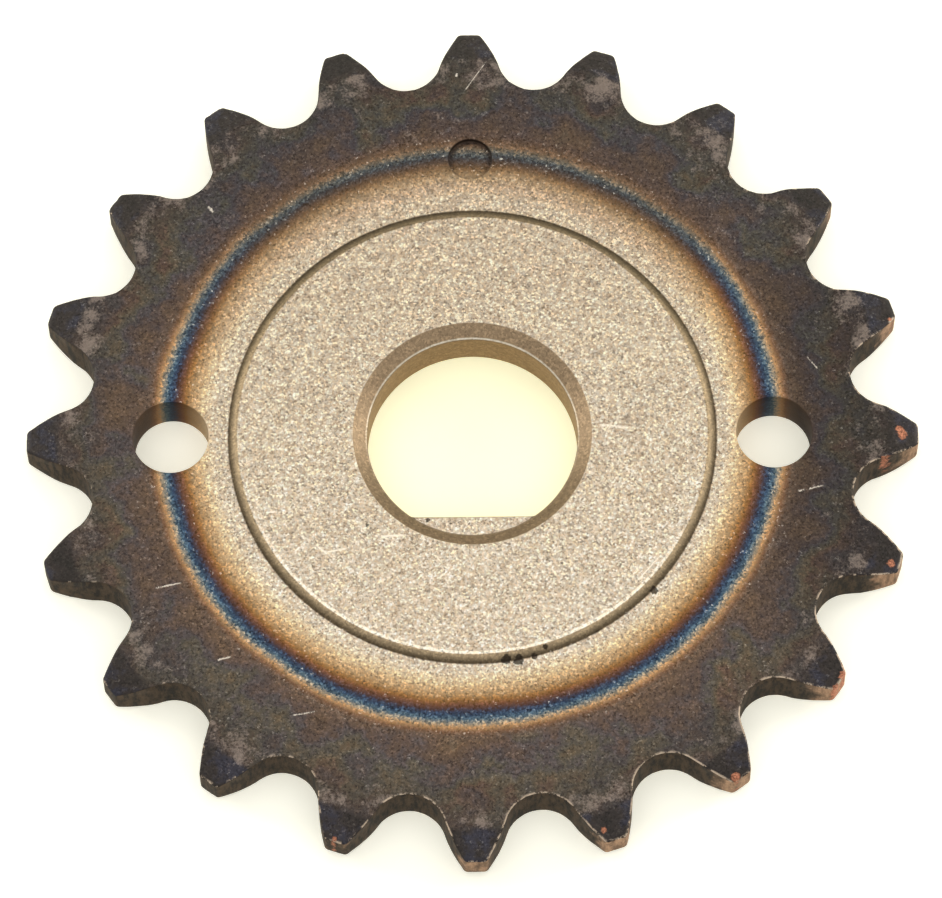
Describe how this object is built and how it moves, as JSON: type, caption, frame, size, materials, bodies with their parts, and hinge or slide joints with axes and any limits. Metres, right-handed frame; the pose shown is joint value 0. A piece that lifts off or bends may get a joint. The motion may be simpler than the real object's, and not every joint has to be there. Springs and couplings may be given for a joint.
{
  "type": "roller chain sprocket",
  "caption": "Flat toothed wheel for a small roller chain, with a raised hub face, a chamfered D-shaped bore, bolt holes either side and a blind timing mark.",
  "frame": {"origin": "on the bore's axis, on the flat underside", "axes": "+Z along the bore, out of the raised hub face; the bolt holes on X; the blind timing mark on +Y; the bore's flat on the -Y side"},
  "size_m": [0.0648, 0.0648, 0.0041],
  "materials": {
    "sintered_steel": "pressed and sintered steel: bare grey-beige centre, a straw, purple and blue heat-tint ring, and dark oxide on the rim and teeth"
  },
  "bodies": {
    "root": {"sprocket": "sintered_steel"}
  },
  "joints": []
}
